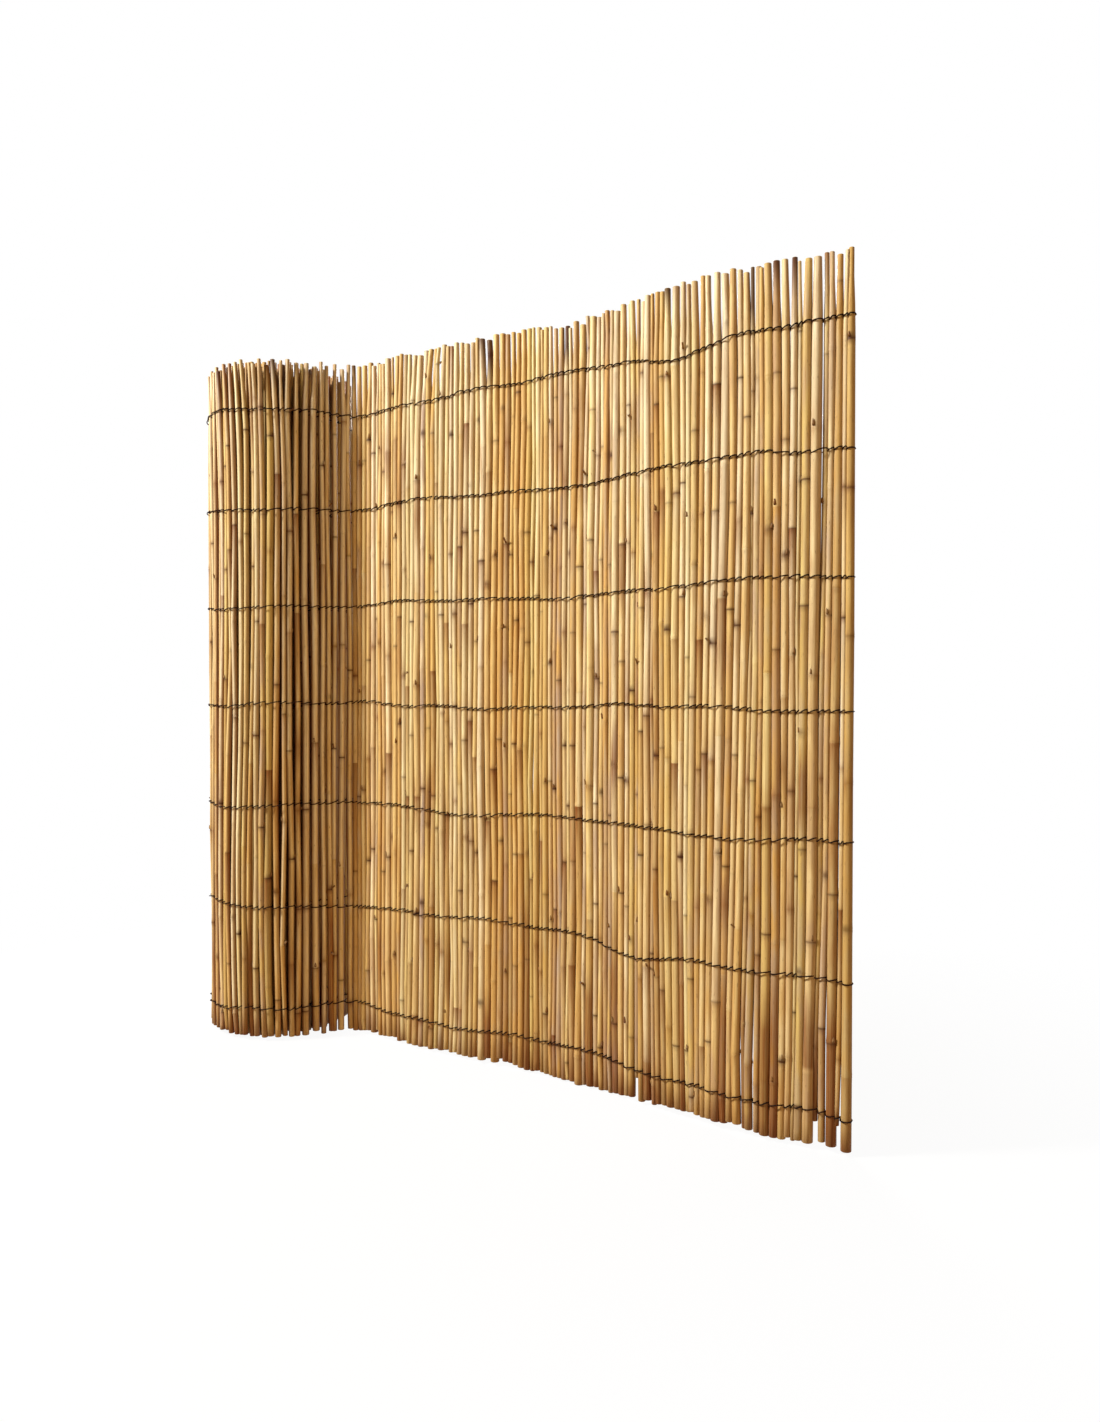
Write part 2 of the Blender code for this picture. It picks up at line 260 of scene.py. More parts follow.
def pick_canes(start, end, packing, painted_side_shade, crooked=1.0, together=0.0, edge=()):
    """The canes of one stretch of the mat: for each its thickness, its place along the mat at four
    heights, its two ends, its joints and its small kinks there, and how it is coloured.

    At each of the four heights the canes stand in order, each on its own thickness and its gap. A
    gap is the mean of what is left of the stretch, plus the spread times a gamma draw less its
    mean: most gaps are tight, and a few are wide. Part of each gap holds over the whole height.
    Then the canes lean and bend, partly each for itself, by the share called crooked, and partly
    with their neighbours, by the share called together, which fades out at both ends of the
    stretch. Edge gives thickness and thinning of the last canes, counted from the free edge."""
    pitch, mean, gap_spread = packing
    count = round((end - start) / pitch)
    thickness = np.clip(mean * draw.normal(1, THICKNESS_SPREAD, count), *THICKNESS_RANGE)
    thinning = draw.uniform(*TIP_THINNING, count)
    for from_edge, own in enumerate(edge):
        thickness[-1 - from_edge], thinning[-1 - from_edge] = own
    width = thickness[:, None] * thickness_at(PACKING_SHARES, thinning[:, None])
    held = draw.gamma(GAP_EVENNESS, 1 / GAP_EVENNESS, (count, 1)) * GAP_HELD_SHARE
    share = held + draw.gamma(GAP_EVENNESS, 1 / GAP_EVENNESS, (count, 4)) * (1 - GAP_HELD_SHARE)
    share = np.minimum(share, WIDEST_GAP)
    spare = (end - start) - width.sum(axis=0)
    step = width + spare / count + gap_spread * (share - share.mean(axis=0))
    place = start + np.cumsum(step, axis=0) - step / 2
    place += crooked * draw.normal(0, LEAN, (count, 1)) * (2 * PACKING_SHARES - 1)
    kink = crooked * draw_more.normal(0, JOINT_KINK, (count, JOINTS + 2, 2))
    inside = np.minimum(place[:, :1] - start, end - place[:, :1]) / SHARED_RAMP
    together = together * np.clip(inside, 0, 1)
    lean = shared(draw_more.normal(0, SHARED_LEAN, (count, 1)), SHARED_BY)
    place += together * lean * (2 * PACKING_SHARES - 1)
    kink += together[..., None] * shared(draw_more.normal(0, SHARED_KINK, kink.shape), SHARED_BY)
    swell = edge_swell(place[:, 0])
    first = draw.uniform(*FIRST_JOINT, count)
    spacing = JOINT_SPACING * draw.uniform(*SPACING_SPREAD, (count, 1))
    scatter = draw.normal(0, JOINT_SCATTER, (count, JOINTS))
    joints = first[:, None] + spacing * np.arange(JOINTS) + scatter
    brown_foot = draw.random(count) < BROWN_FOOT_SHARE
    dark_tip = draw.random(count) < DARK_TIP_SHARE
    band_low = draw.uniform(*BROWN_BAND_FROM, count)
    band = np.stack([band_low, band_low + draw.uniform(*BROWN_BAND_LENGTH, count)], -1)
    band[draw.random(count) > BROWN_BAND_SHARE] = BELOW_ALL
    return {
        "thickness": thickness,
        "thinning": thinning,
        "place": place,
        "bottom": swell + np.abs(draw.normal(0, BOTTOM_SCATTER, count)),
        "top": SCREEN_HEIGHT + swell - np.abs(draw.normal(0, TOP_SCATTER, count)),
        "joints": np.clip(joints, JOINT_MARGIN, SCREEN_HEIGHT - JOINT_MARGIN),
        "kink": kink,
        "depth": crooked * draw.normal(0, DEPTH_SPREAD, count),
        "fan": draw.normal(0, FAN_SPREAD, (count, 2)),
        "tone": draw.beta(*TONE_SHAPE, count),
        "turn": draw.uniform(0, math.tau, count),
        "shift": draw.uniform(0, PATTERN_SHIFT, (count, 3)),
        "brown_to": np.where(brown_foot, draw.uniform(*BROWN_FOOT_HEIGHT, count), BELOW_ALL),
        "dark_from": np.where(
            dark_tip, SCREEN_HEIGHT - draw.uniform(*DARK_TIP_LENGTH, count), ABOVE_ALL
        ),
        "brown_band": band,
        "dirty_foot": draw.uniform(*DIRT_STRENGTH, count),
        "grey": draw.beta(*GREY_SHAPE, count),
        "painted_side_shade": np.full(count, painted_side_shade),
        "green": GREEN_STRAW_AMOUNT * draw_more.beta(*GREEN_SHAPE, count),
    }


def knots_of(canes):
    """Heights of each cane's two ends and its joints between them, lowest first."""
    return np.column_stack([canes["bottom"], canes["joints"], canes["top"]])


def stretch_at(height, knots):
    """Which stretch between two knots of a cane each height lies in, counted from the foot."""
    return (height[:, :, None] >= knots[:, None, 1:-1]).sum(axis=2)


def between_knots(height, knots, values):
    """Values that run evenly from one knot of a cane to the next, at these heights of each cane."""
    index = stretch_at(height, knots)
    rows = np.arange(len(knots))[:, None]
    low, high = knots[rows, index], knots[rows, index + 1]
    share = np.clip((height - low) / (high - low), 0, 1)
    if values.ndim == 3:
        share = share[..., None]
    return values[rows, index] * (1 - share) + values[rows, index + 1] * share


def place_along(canes, height):
    """Where each cane stands along the mat at these heights: the cubic through its four places."""
    share = height / SCREEN_HEIGHT
    place = np.zeros_like(share)
    for i, own in enumerate(PACKING_SHARES):
        weight = np.ones_like(share)
        for other in np.delete(PACKING_SHARES, i):
            weight *= (share - other) / (own - other)
        place += canes["place"][:, i : i + 1] * weight
    return place


def centre_line(canes, height):
    """Distance along the mat and depth of each cane's own line at these heights: its packed place,
    its kinks at the joints, and the tips that fan out above the top wire."""
    kink = between_knots(height, knots_of(canes), canes["kink"])
    fan = ease((height - FAN_START) / FAN_RAMP)[..., None] * canes["fan"][:, None, :]
    distance = place_along(canes, height) + kink[..., 0] + fan[..., 0]
    depth = canes["depth"][:, None] + kink[..., 1] + fan[..., 1] * FAN_DEPTH_SHARE
    return distance, depth


def radius_along(canes, height):
    """Half the thickness of each cane at these heights, without the ridges at its joints."""
    share = thickness_at(height / SCREEN_HEIGHT, canes["thinning"][:, None])
    return canes["thickness"][:, None] / 2 * share


SIDES = 12
WALL_SHARE = 0.36
HOLLOW_DEPTH = 0.011
RIM_BEVEL = 0.0004
END_RINGS = 3

# Rings at a joint: their heights from it, their rise as a share of the radius, and their shade.
JOINT_RINGS = np.array([-0.0080, -0.0022, -0.0007, 0.0003, 0.0014, 0.0034, 0.0085])
JOINT_RISE = np.array([0.0, 0.025, 0.095, 0.010, 0.085, 0.045, 0.0])
SCAR_SHADE = np.array([0.0, 0.25, 0.85, 1.0, 0.35, 0.10, 0.0])
PLAIN_RINGS = np.array([0.33, 0.66])
RIDGE_STRENGTH = (0.25, 1.1)
RINGED_SHARE = 0.38
RING_SHADE, FAINT_RING_SHADE = (0.4, 0.9), (0.0, 0.15)
SMUDGE_SHARE = 0.34
SMUDGE_STRENGTH = (0.4, 0.9)
SMUDGE_REACH = 0.0045
SMUDGE_ROUND = 0.55
STAINED_SHARE = 0.12
STAINED_SHARE_AT_FOOT = 0.16
STAIN_STRENGTH, FAINT_STAIN_STRENGTH = (0.3, 1.0), (0.0, 0.12)
STAIN_REACH = (0.015, 0.09)
HALO_SHARE = 0.40
HALO_STRENGTH = (0.2, 0.8)
HALO_REACH = (0.004, 0.014)
BAND_STRENGTH = 0.7
BROWN_FOOT_STRENGTH = 0.8
BROWN_FOOT_FADE = 0.05
DIRT_REACH = 0.022


def ring_heights(canes):
    """Rings of a cane that shows: seven at each joint, two between joints, and one at each rim.
    Gives their heights, their rise at a joint as a share of the radius, and their shade there."""
    count = len(canes["thickness"])
    knots = knots_of(canes)
    strength = draw.uniform(*RIDGE_STRENGTH, (count, JOINTS, 1))
    at_joint = canes["joints"][:, :, None] + JOINT_RINGS
    rise = strength * JOINT_RISE
    ringed = draw.random((count, JOINTS, 1)) < RINGED_SHARE
    dark = draw.uniform(*RING_SHADE, ringed.shape)
    faint = draw.uniform(*FAINT_RING_SHADE, ringed.shape)
    scar = np.where(ringed, dark, faint) * SCAR_SHADE
    foot, tip = knots[:, :1] + RIM_BEVEL, knots[:, -1:] - RIM_BEVEL
    gap_low = np.column_stack([foot, at_joint[:, :, -1]])
    gap_high = np.column_stack([at_joint[:, :, 0], tip])
    between = gap_low[:, :, None] + (gap_high - gap_low)[:, :, None] * PLAIN_RINGS
    blank = np.zeros_like(between)

    def string_together(joint_part, plain_part, end_part):
        """The rings in their order from foot to tip."""
        middle = np.concatenate([joint_part, plain_part[:, 1:]], axis=2).reshape(count, -1)
        return np.column_stack([end_part[:, :1], plain_part[:, 0], middle, end_part[:, 1:]])

    ends = np.column_stack([foot, tip])
    height = string_together(at_joint, between, ends)
    return (
        np.maximum.accumulate(height, axis=1),
        string_together(rise, blank, ends * 0),
        string_together(scar, blank, ends * 0),
    )


def stain_along(canes, height):
    """How brown each cane is at these heights: some lengths between two joints darken towards the
    joint above them, as an exponential of the distance to it, and end sharply at it, where the
    leaf sheath lay. Some joints have a soft brown halo, which fades in the same way. Some canes
    have one brown length or a brown foot. The largest of these counts, and dirt at the foot is
    added to it."""
    knots = knots_of(canes)
    index = stretch_at(height, knots)
    rows = np.arange(len(knots))[:, None]
    likely = STAINED_SHARE + STAINED_SHARE_AT_FOOT * (1 - knots[:, 1:] / SCREEN_HEIGHT)
    stained = draw.random(likely.shape) < likely
    strong = draw.uniform(*STAIN_STRENGTH, likely.shape)
    faint = draw.uniform(*FAINT_STAIN_STRENGTH, likely.shape)
    amount = np.where(stained, strong, faint)
    reach = draw.uniform(*STAIN_REACH, likely.shape)
    below = knots[rows, index + 1] - height
    stain = amount[rows, index] * np.exp(-np.maximum(below, 0) / reach[rows, index])
    halo = draw.uniform(*HALO_STRENGTH, canes["joints"].shape)
    halo *= draw.random(halo.shape) < HALO_SHARE
    away = np.abs(height[:, :, None] - canes["joints"][:, None])
    halo_reach = draw.uniform(*HALO_REACH, halo.shape)[:, None]
    halo = (halo[:, None] * np.exp(-away / halo_reach)).max(axis=2)
    low, high = canes["brown_band"][:, :1], canes["brown_band"][:, 1:]
    band = BAND_STRENGTH * ((height > low) & (height < high))
    foot = ease((canes["brown_to"][:, None] - height) / BROWN_FOOT_FADE) * BROWN_FOOT_STRENGTH
    dirt = canes["dirty_foot"][:, None] * np.exp(-(height - knots[:, :1]) / DIRT_REACH)
    brown = np.max([stain, halo, band, foot], axis=0)
    return np.clip(brown + dirt, 0, 1)


def smudge_round(canes, height, sides):
    """How dark the skin is round each joint at these heights and on each side: a patch where the
    twig came off, which fades as a bell curve in height and round the cane, on alternate sides."""
    strength = draw.uniform(*SMUDGE_STRENGTH, canes["joints"].shape)
    strength *= draw.random(canes["joints"].shape) < SMUDGE_SHARE
    away = (height[:, :, None] - canes["joints"][:, None] - SMUDGE_REACH / 2) / SMUDGE_REACH
    amount = strength[:, None] * np.exp(-away * away)
    angle = np.arange(sides) * math.tau / sides
    even, odd = (np.exp((np.cos(angle - turn) - 1) / SMUDGE_ROUND) for turn in (0, math.pi))
    on_one_side = amount[:, :, 0::2].max(axis=2)[..., None] * even
    on_the_other = amount[:, :, 1::2].max(axis=2)[..., None] * odd
    return on_one_side + on_the_other


def cane_grid(canes, height, rise, sides):
    """Points of every cane as rings by sides. A ring is a circle about the cane's own line. The
    profile starts inside the hollow foot, turns over the rim, runs up the skin, turns over the
    upper rim and ends inside the hollow tip. Also gives each point's place in the straight cane."""
    rim = height[:, [0, -1]] + np.array([-RIM_BEVEL, RIM_BEVEL])
    bottom, top = rim[:, :1], rim[:, 1:]
    foot = [bottom + HOLLOW_DEPTH, bottom, bottom]
    tip = [top, top, top - HOLLOW_DEPTH]
    z = np.column_stack([*foot, height, *tip])
    radius = radius_along(canes, z)
    skin = radius[:, END_RINGS:-END_RINGS] * (1 + rise)
    bevel = radius[:, [2, -3]] - RIM_BEVEL
    hollow = radius[:, [0, -1]] * (1 - WALL_SHARE)
    low = [hollow[:, :1], hollow[:, :1], bevel[:, :1]]
    high = [bevel[:, 1:], hollow[:, 1:], hollow[:, 1:]]
    radius = np.column_stack([*low, skin, *high])

    distance, depth = centre_line(canes, z)
    centre, heading = stand_on_plan(distance, depth)
    angle = np.arange(sides) * math.tau / sides + canes["turn"][:, None]
    across, back = np.cos(angle)[:, None, :], np.sin(angle)[:, None, :]
    behind = np.stack([-heading[..., 1], heading[..., 0]], -1)
    offset = across[..., None] * heading[:, :, None] + back[..., None] * behind[:, :, None]
    plan = centre[:, :, None] + offset * radius[:, :, None, None]
    level = np.broadcast_to(z[:, :, None, None], (*plan.shape[:3], 1))
    own = radius[:, :, None, None] * np.stack([across + 0 * angle[:, None], back], -1)
    in_cane = np.concatenate([own, level], -1) + canes["shift"][:, None, None]
    return np.concatenate([plan, level], -1), in_cane, z


def grid_faces(count, rings, sides):
    """Corners of the faces of many tubes, each a grid of rings by sides: quads that point outwards,
    and one round face that closes each end."""
    tube = np.arange(count)[:, None, None] * rings * sides
    ring = np.arange(rings - 1)[:, None] * sides
    side = np.arange(sides)
    after = (side + 1) % sides
    quads = np.stack([tube + ring + side, tube + ring + after,
                      tube + ring + sides + after, tube + ring + sides + side], -1)
    lower = tube[:, 0] + side[::-1]
    upper = tube[:, 0] + (rings - 1) * sides + side
    return [quads.reshape(-1, 4), lower, upper]


SHARP_ANGLE = math.radians(55)


def new_piece(name, points, faces, marks, material):
    """A mesh object from whole arrays: points, faces grouped by their number of corners, and one
    value or vector for each point under each name in marks."""
    mesh = bpy.data.meshes.new(name)
    corners = np.concatenate([group.ravel() for group in faces])
    sizes = np.concatenate([np.full(len(group), group.shape[1]) for group in faces])
    mesh.vertices.add(len(points))
    mesh.vertices.foreach_set("co", np.ascontiguousarray(points, np.float32).ravel())
    mesh.loops.add(len(corners))
    mesh.loops.foreach_set("vertex_index", corners.astype(np.int32))
    mesh.polygons.add(len(sizes))
    mesh.polygons.foreach_set("loop_start", (np.cumsum(sizes) - sizes).astype(np.int32))
    mesh.update(calc_edges=True)
    for mark, values in marks.items():
        kind, field = ("FLOAT", "value") if values.ndim == 1 else ("FLOAT_VECTOR", "vector")
        layer = mesh.attributes.new(mark, kind, "POINT")
        layer.data.foreach_set(field, np.ascontiguousarray(values, np.float32).ravel())
    mesh.shade_smooth()
    mesh.set_sharp_from_angle(angle=SHARP_ANGLE)
    mesh.materials.append(material)
    piece = bpy.data.objects.new(name, mesh)
    bpy.context.scene.collection.objects.link(piece)
    return piece


def linear(code):
    """A colour's sRGB hex code as linear red, green, blue and full alpha: each part is a share of
    255, over 12.92 where it is small, and otherwise plus 0.055, over 1.055, to the power 2.4."""
    parts = [int(code[i : i + 2], 16) / 255 for i in (0, 2, 4)]
    return (*[c / 12.92 if c <= 0.04045 else ((c + 0.055) / 1.055) ** 2.4 for c in parts], 1.0)


def add_node(tree, kind, settings=(), **links):
    """Adds a node. Settings are its own properties by their names or, under a number or a name with
    a capital, its sockets' values. Links give its sockets, by name or number, other outputs."""
    node = tree.nodes.new(kind)
    for key, value in dict(settings).items():
        if isinstance(key, int) or key[:1].isupper():
            node.inputs[key].default_value = value
        else:
            setattr(node, key, value)
    for key, output in links.items():
        socket = int(key[2:]) if key[:2] == "in" and key[2:].isdigit() else key.replace("_", " ")
        tree.links.new(output, node.inputs[socket])
    return node


# Cane skin: a dried grass culm with its own waxy skin, uncoated. The wax gives a broad soft shine,
# the fibres under it long streaks, and the weather grey and brown flecks. Some straw is greenish.
# Real fibres lie about 0.4 mm apart, finer than a pixel, so streaks and flecks are drawn coarser.
STRAW_TONES = ("F6E8C2", "F0D9A2", "E4C27E", "D4A75E", "CBAC78", "AC783C")

# The colours laid over the tone, the lowest first, and the share that each goes by: painted shade on
# the sides that the next canes shade, greenish straw, weathering, fibres, flecks, sheath stains,
# scars, cut faces and painted shade inside the hollow ends.
SKIN_LAYERS = {
    "side": "7A3A08",
    "green": "D6CB7E",
    "grey": "BBA691",
    "streak": "A8763C",
    "fleck": "5E3413",
    "stain": "7C4316",
    "scar": "4A2710",
    "cut": "D8BE8C",
    "hollow": "6E4A22",
}

# Each noise has a width and a length in metres, a detail and a roughness. Each use of one has the
# two levels of the noise between which it grows, and its least and greatest strength.
SKIN_NOISES = {
    "streaks": (0.0015, 0.110, 3.0, 0.60),
    "patches": (0.0100, 0.060, 2.0, 0.50),
    "flecks": (0.0016, 0.010, 3.0, 0.65),
}
NOISE_USES = {
    "tone_patch": ("patches", 0.30, 0.70, -0.14, 0.14),
    "grey_patch": ("patches", 0.35, 0.65, 0.0, 1.0),
    "streak": ("streaks", 0.48, 0.72, 0.0, 0.60),
    "fleck": ("flecks", 0.62, 0.76, 0.0, 0.65),
    "stain_streak": ("streaks", 0.25, 0.60, 0.55, 1.0),
    "roughness": ("streaks", 0.30, 0.70, 0.42, 0.56),
}
SKIN_IOR = 1.45
SKIN_SPECULAR = 0.18
CUT_ROUGHNESS = 0.3
FIBRE_BUMP = 0.5
FIBRE_HEIGHT = 0.0002


def make_cane_skin():
    """The skin's nodes. A ramp gives the cane's tone, varied by the patches. The layers go over it
    one by one, each mixed in by its share, which the patches or streaks vary for grey and stain.
    The streaks also vary the roughness and raise the skin, and cut faces are rougher."""
    material = bpy.data.materials.new("dried_cane_waxy_skin")
    material.use_nodes = True
    tree = material.node_tree
    shader = tree.nodes["Principled BSDF"]
    shader.inputs["IOR"].default_value = SKIN_IOR
    shader.inputs["Specular IOR Level"].default_value = SKIN_SPECULAR

    share = {}
    for name in ("in_cane", "tone", "side", "green", "grey", "stain", "scar", "cut", "hollow"):
        mark = add_node(tree, "ShaderNodeAttribute", {"attribute_name": name})
        share[name] = mark.outputs["Vector" if name == "in_cane" else "Fac"]
    for name, (width, length, detail, rough) in SKIN_NOISES.items():
        scale = (1 / width, 1 / width, 1 / length)
        stretched = add_node(tree, "ShaderNodeMapping", {"Scale": scale}, Vector=share["in_cane"])
        noise = add_node(tree, "ShaderNodeTexNoise", {"Scale": 1.0, "Detail": detail,
                         "Roughness": rough}, Vector=stretched.outputs["Vector"])
        share[name] = noise.outputs["Fac"]
    for name, (noise, low, high, least, most) in NOISE_USES.items():
        levels = {"From Min": low, "From Max": high, "To Min": least, "To Max": most}
        grown = add_node(tree, "ShaderNodeMapRange", levels, Value=share[noise])
        share[name] = grown.outputs["Result"]
    share["cut_roughness"] = add_node(
        tree, "ShaderNodeMath", {"operation": "MULTIPLY", 1: CUT_ROUGHNESS}, in0=share["cut"]
    ).outputs["Value"]
    for name, operation, other in (
        ("tone", "ADD", "tone_patch"),
        ("grey", "MULTIPLY", "grey_patch"),
        ("stain", "MULTIPLY", "stain_streak"),
        ("roughness", "ADD", "cut_roughness"),
    ):
        both = add_node(tree, "ShaderNodeMath", {"operation": operation, "use_clamp": True},
                        in0=share[name], in1=share[other])
        share[name] = both.outputs["Value"]

    ramp = add_node(tree, "ShaderNodeValToRGB", Fac=share["tone"])
    stops = ramp.color_ramp.elements
    for _ in STRAW_TONES[2:]:
        stops.new(0.5)
    for i, code in enumerate(STRAW_TONES):
        stops[i].position = i / (len(STRAW_TONES) - 1)
        stops[i].color = linear(code)
    colour = ramp.outputs["Color"]
    for name, code in SKIN_LAYERS.items():
        mix = add_node(tree, "ShaderNodeMix", {"data_type": "RGBA", 7: linear(code)},
                       in0=share[name], in6=colour)
        colour = mix.outputs[2]
    bump = add_node(tree, "ShaderNodeBump", {"Strength": FIBRE_BUMP, "Distance": FIBRE_HEIGHT},
                    Height=share["streaks"])
    tree.links.new(colour, shader.inputs["Base Color"])
    tree.links.new(share["roughness"], shader.inputs["Roughness"])
    tree.links.new(bump.outputs["Normal"], shader.inputs["Normal"])
    return material


cane_skin = make_cane_skin()

# Painted shade: the tone grows browner evenly towards the foot, as the light falls off downwards.
FOOT_PAINTED_SHADE = 0.36
TONE_STEP = 0.07
DARK_TIP_STRENGTH = 0.9
DARK_TIP_FADE = 0.006


def cane_marks(canes, in_cane, z, scar, sides):
    """What the skin's nodes read at each point: the cane's tone, stain, green and grey, the scars
    and smudges at its joints, its cut rims and hollow ends, and the place in the straight cane.
    The tone steps at each joint and grows browner evenly towards the foot, a painted shade for the
    light that falls off downwards. The sides that touch the next canes get painted shade, by a
    squared cosine."""
    rings = z.shape[1]
    skin = slice(END_RINGS, rings - END_RINGS)
    stain = np.zeros_like(z)
    stain[:, skin] = stain_along(canes, z[:, skin])
    dark = np.zeros((*z.shape, sides))
    dark[:, skin] = scar[..., None] + smudge_round(canes, z[:, skin], sides)
    tip = ease((z[:, skin] - canes["dark_from"][:, None]) / DARK_TIP_FADE)
    dark[:, skin] += DARK_TIP_STRENGTH * tip[..., None]
    cut = np.zeros_like(z)
    cut[:, [1, 2, -3, -2]] = 1.0
    # Painted shade: the bottom of each hollow end is coloured dark brown.
    hollow = np.zeros_like(z)
    hollow[:, [0, -1]] = 1.0
    index = stretch_at(z, knots_of(canes))
    own_tone = canes["tone"][:, None] + draw.normal(0, TONE_STEP, (len(z), JOINTS + 1))
    # Painted shade towards the foot.
    tone = own_tone[np.arange(len(z))[:, None], index] + FOOT_PAINTED_SHADE * (0.5 - z / SCREEN_HEIGHT)
    marks = {"tone": tone, "stain": stain, "cut": cut, "hollow": hollow}
    marks = {key: np.repeat(values.ravel(), sides) for key, values in marks.items()}
    # Painted shade on the sides that face the next canes, by the squared cosine of the angle round
    # the cane.
    angle = np.arange(sides) * math.tau / sides + canes["turn"][:, None]
    side = np.cos(angle) ** 2 * canes["painted_side_shade"][:, None]
    marks["side"] = np.broadcast_to(side[:, None], dark.shape).ravel()
    marks["scar"] = np.clip(dark, 0, 1).ravel()
    for key in ("grey", "green"):
        marks[key] = np.repeat(canes[key], rings * sides)
    marks["in_cane"] = in_cane.reshape(-1, 3)
    return marks


BUD_SIDES = 6
BUD_SHARE = 0.52
STUB_SHARE = 0.22
BUD_LENGTH = (0.0050, 0.0090)
BUD_WIDTH, STUB_WIDTH = (0.0015, 0.0023), (0.0011, 0.0016)
BUD_LEAN, STUB_LEAN = (0.18, 0.35), (0.6, 1.1)
BUD_TURN_SPREAD = 0.25
BUD_ABOVE_JOINT = 0.0016
BUD_SUNK_SHARE = 0.35
BUD_STAIN = (0.1, 0.8)
# The painted side shade, laid evenly over buds and stubs.
BUD_PAINTED_SIDE_SHADE = 0.4

# The five rings of a bud, as shares of its length and its width, and those that differ on a stub.
BUD_PROFILE = np.array([[0.0, 0.55], [0.12, 1.0], [0.45, 0.80], [0.80, 0.40], [1.0, 0.06]])
STUB_SWELL = np.array([1.15, 1.0, 0.95, 0.92, 0.90])
BUD_SHADE = np.array([0.95, 0.6, 0.3, 0.5, 0.9])
STUB_SHADE = np.array([0.95, 0.5, 0.3, 0.4, 0.8])


def buds_and_stubs(canes):
    """Side buds and broken twig stubs, one at about half of the joints, on alternate sides.

    Each is a tube of five rings, whose radius follows a profile along its own axis. The axis starts
    inside the skin just above the joint and leans out from the cane. A bud lies close to the cane
    and ends in a point. A stub stands out further, stays thick and is cut off."""
    cane, joint = np.nonzero(draw.random(canes["joints"].shape) < BUD_SHARE)
    total = len(cane)
    stub = draw.random(total) < STUB_SHARE
    length = draw.uniform(*BUD_LENGTH, total)
    width = np.where(stub, draw.uniform(*STUB_WIDTH, total), draw.uniform(*BUD_WIDTH, total))
    lean = np.where(stub, draw.uniform(*STUB_LEAN, total), draw.uniform(*BUD_LEAN, total))
    side = canes["turn"][cane] + math.pi * joint + draw.normal(0, BUD_TURN_SPREAD, total)
    foot = canes["joints"][cane, joint] + BUD_ABOVE_JOINT
    distance, depth = centre_line(canes, canes["joints"])
    centre, heading = stand_on_plan(distance[cane, joint], depth[cane, joint])
    behind = np.stack([-heading[:, 1], heading[:, 0]], -1)
    out = np.cos(side)[:, None] * heading + np.sin(side)[:, None] * behind
    out = np.column_stack([out, np.zeros(total)])
    up = np.array([0.0, 0.0, 1.0])
    axis = out * np.sin(lean)[:, None] + up * np.cos(lean)[:, None]
    across = np.cross(up, out)
    over = np.cross(axis, across)
    radius = radius_along(canes, canes["joints"])[cane, joint]
    start = np.column_stack([centre, foot]) + out * (radius - BUD_SUNK_SHARE * width)[:, None]
    along, swell = BUD_PROFILE.T
    swell = np.where(stub[:, None], STUB_SWELL, swell)
    angle = np.arange(BUD_SIDES) * math.tau / BUD_SIDES
    ring = np.cos(angle)[:, None] * across[:, None] - np.sin(angle)[:, None] * over[:, None]
    path = start[:, None] + axis[:, None] * (length[:, None] * along)[..., None]
    points = path[:, :, None] + ring[:, None] * (width[:, None] * swell)[:, :, None, None]
    faces = grid_faces(total, len(along), BUD_SIDES)
    per_point = len(along) * BUD_SIDES
    shade = np.where(stub[:, None], STUB_SHADE, BUD_SHADE)
    marks = {key: np.zeros(total * per_point) for key in ("grey", "green", "cut", "hollow")}
    marks |= {
        "tone": np.repeat(canes["tone"][cane], per_point),
        "stain": np.repeat(draw.uniform(*BUD_STAIN, total), per_point),
        "side": np.full(total * per_point, BUD_PAINTED_SIDE_SHADE),
        "scar": np.repeat(shade.ravel(), BUD_SIDES),
        "in_cane": (points + (canes["shift"][cane] - start)[:, None, None]).reshape(-1, 3),
    }
    return points.reshape(-1, 3), faces, marks


def join_parts(first, second):
    """Two lots of points, faces and marks as one."""
    points = np.concatenate([first[0], second[0]])
    faces = first[1] + [group + len(first[0]) for group in second[1]]
    marks = {key: np.concatenate([first[2][key], second[2][key]]) for key in first[2]}
    return points, faces, marks


def cane_tubes(canes, height, rise, scar, sides):
    """Points, faces and marks of these canes as tubes with rings at these heights."""
    points, in_cane, z = cane_grid(canes, height, rise, sides)
    marks = cane_marks(canes, in_cane, z, scar, sides)
    return points.reshape(-1, 3), grid_faces(len(z), z.shape[1], sides), marks


def make_shown_canes(name, canes):
    """One joined mesh of canes with their joints, buds and stubs."""
    tubes = cane_tubes(canes, *ring_heights(canes), SIDES)
    return new_piece(name, *join_parts(tubes, buds_and_stubs(canes)), cane_skin)


def follow_on(*stretches):
    """The canes of several stretches of the mat, in order."""
    return {key: np.concatenate([canes[key] for canes in stretches]) for key in stretches[0]}


# Painted light on the lead, which faces away from the key lamp: its canes are made paler, with
# little grey and no green, so that they show lighter and warmer in the roll's shade.
LEAD_PAINTED_LIGHT = -0.16
LEAD_GREY_SHARE = 0.1
# Painted light and shade along the free panel, as tone shifts at its start, middle and free edge:
# paler near the roll, browner in the middle.
PANEL_PAINTED_LIGHT_DRIFT = (-0.15, 0.08, -0.02)

